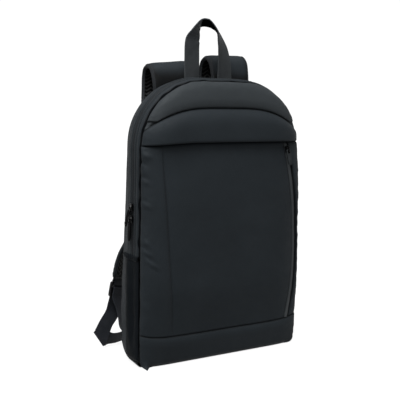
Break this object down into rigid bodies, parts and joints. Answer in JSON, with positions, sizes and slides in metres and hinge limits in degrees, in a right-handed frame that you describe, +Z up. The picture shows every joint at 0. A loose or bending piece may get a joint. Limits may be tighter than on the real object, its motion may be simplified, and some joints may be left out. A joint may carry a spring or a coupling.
{
  "type": "expandable backpack",
  "caption": "Slim expandable laptop backpack in dark grey polyester with a zipped gusset, curved front zip, side pockets, padded back, padded shoulder straps and a webbing carry handle.",
  "frame": {"origin": "on the floor under the middle of the base, on the flat underside of the base panel", "axes": "+Z up, -Y towards the front of the bag, +X to the right of someone looking at the front"},
  "size_m": [0.3588, 0.1668, 0.5449],
  "materials": {
    "shell_fabric": "plain-weave polyester with a slight sheen",
    "yoke_fabric": "plain-weave polyester with a slight sheen",
    "pocket_fabric": "stretch knit",
    "air_mesh": "padded honeycomb air mesh",
    "zip_tape": "woven tape with a nylon coil",
    "zip_welt": "coated tape, satin",
    "webbing": "ribbed webbing",
    "buckle_plastic": "moulded, fine texture",
    "pull_plastic": "moulded, satin",
    "slider_metal": "dark plated"
  },
  "bodies": {
    "bag": {"front_base_panel": "shell_fabric", "front_left_panel": "shell_fabric", "front_center_panel": "shell_fabric", "front_zip": "zip_welt", "front_right_panel": "shell_fabric", "front_arch_panel": "shell_fabric", "front_yoke": "yoke_fabric", "corner_tuck_left": "yoke_fabric", "corner_tuck_right": "yoke_fabric", "gusset_front_band": "shell_fabric", "main_zip": "zip_tape", "gusset_back_band": "shell_fabric", "base_panel": "shell_fabric", "back_panel": "air_mesh", "side_panel_left": "shell_fabric", "side_panel_right": "shell_fabric", "side_pocket_left": "pocket_fabric", "side_pocket_right": "pocket_fabric", "pocket_binding_left": "shell_fabric", "pocket_binding_right": "shell_fabric", "strap_left": "shell_fabric", "strap_right": "shell_fabric", "strap_mesh_left": "air_mesh", "strap_mesh_right": "air_mesh", "strap_end_loop_left": "webbing", "strap_end_loop_right": "webbing", "ladder_lock_left": "buckle_plastic", "ladder_lock_right": "buckle_plastic", "webbing_left": "webbing", "webbing_right": "webbing", "handle": "webbing", "main_zip_slider_a": "slider_metal", "main_zip_slider_b": "slider_metal", "front_zip_slider": "slider_metal"},
    "pull_a": {"main_zip_pull_a": "pull_plastic"},
    "pull_b": {"main_zip_pull_b": "pull_plastic"},
    "front_pull": {"front_zip_pull": "pull_plastic"}
  },
  "joints": [
    {"name": "main_pull_a_swing", "type": "hinge", "parent": "bag", "child": "pull_a", "pos_m": [-0.15183, -0.012, 0.2498], "axis": [0, 0.8387, 0.5446], "range_deg": [0, 120]},
    {"name": "main_pull_b_swing", "type": "hinge", "parent": "bag", "child": "pull_b", "pos_m": [-0.15203, -0.012, 0.2318], "axis": [0, 0.9903, 0.1392], "range_deg": [0, 120]},
    {"name": "front_pull_swing", "type": "hinge", "parent": "bag", "child": "front_pull", "pos_m": [0.11409, -0.04952, 0.33591], "axis": [-0.9635, -0.1198, -0.2393], "range_deg": [0, 120]}
  ]
}
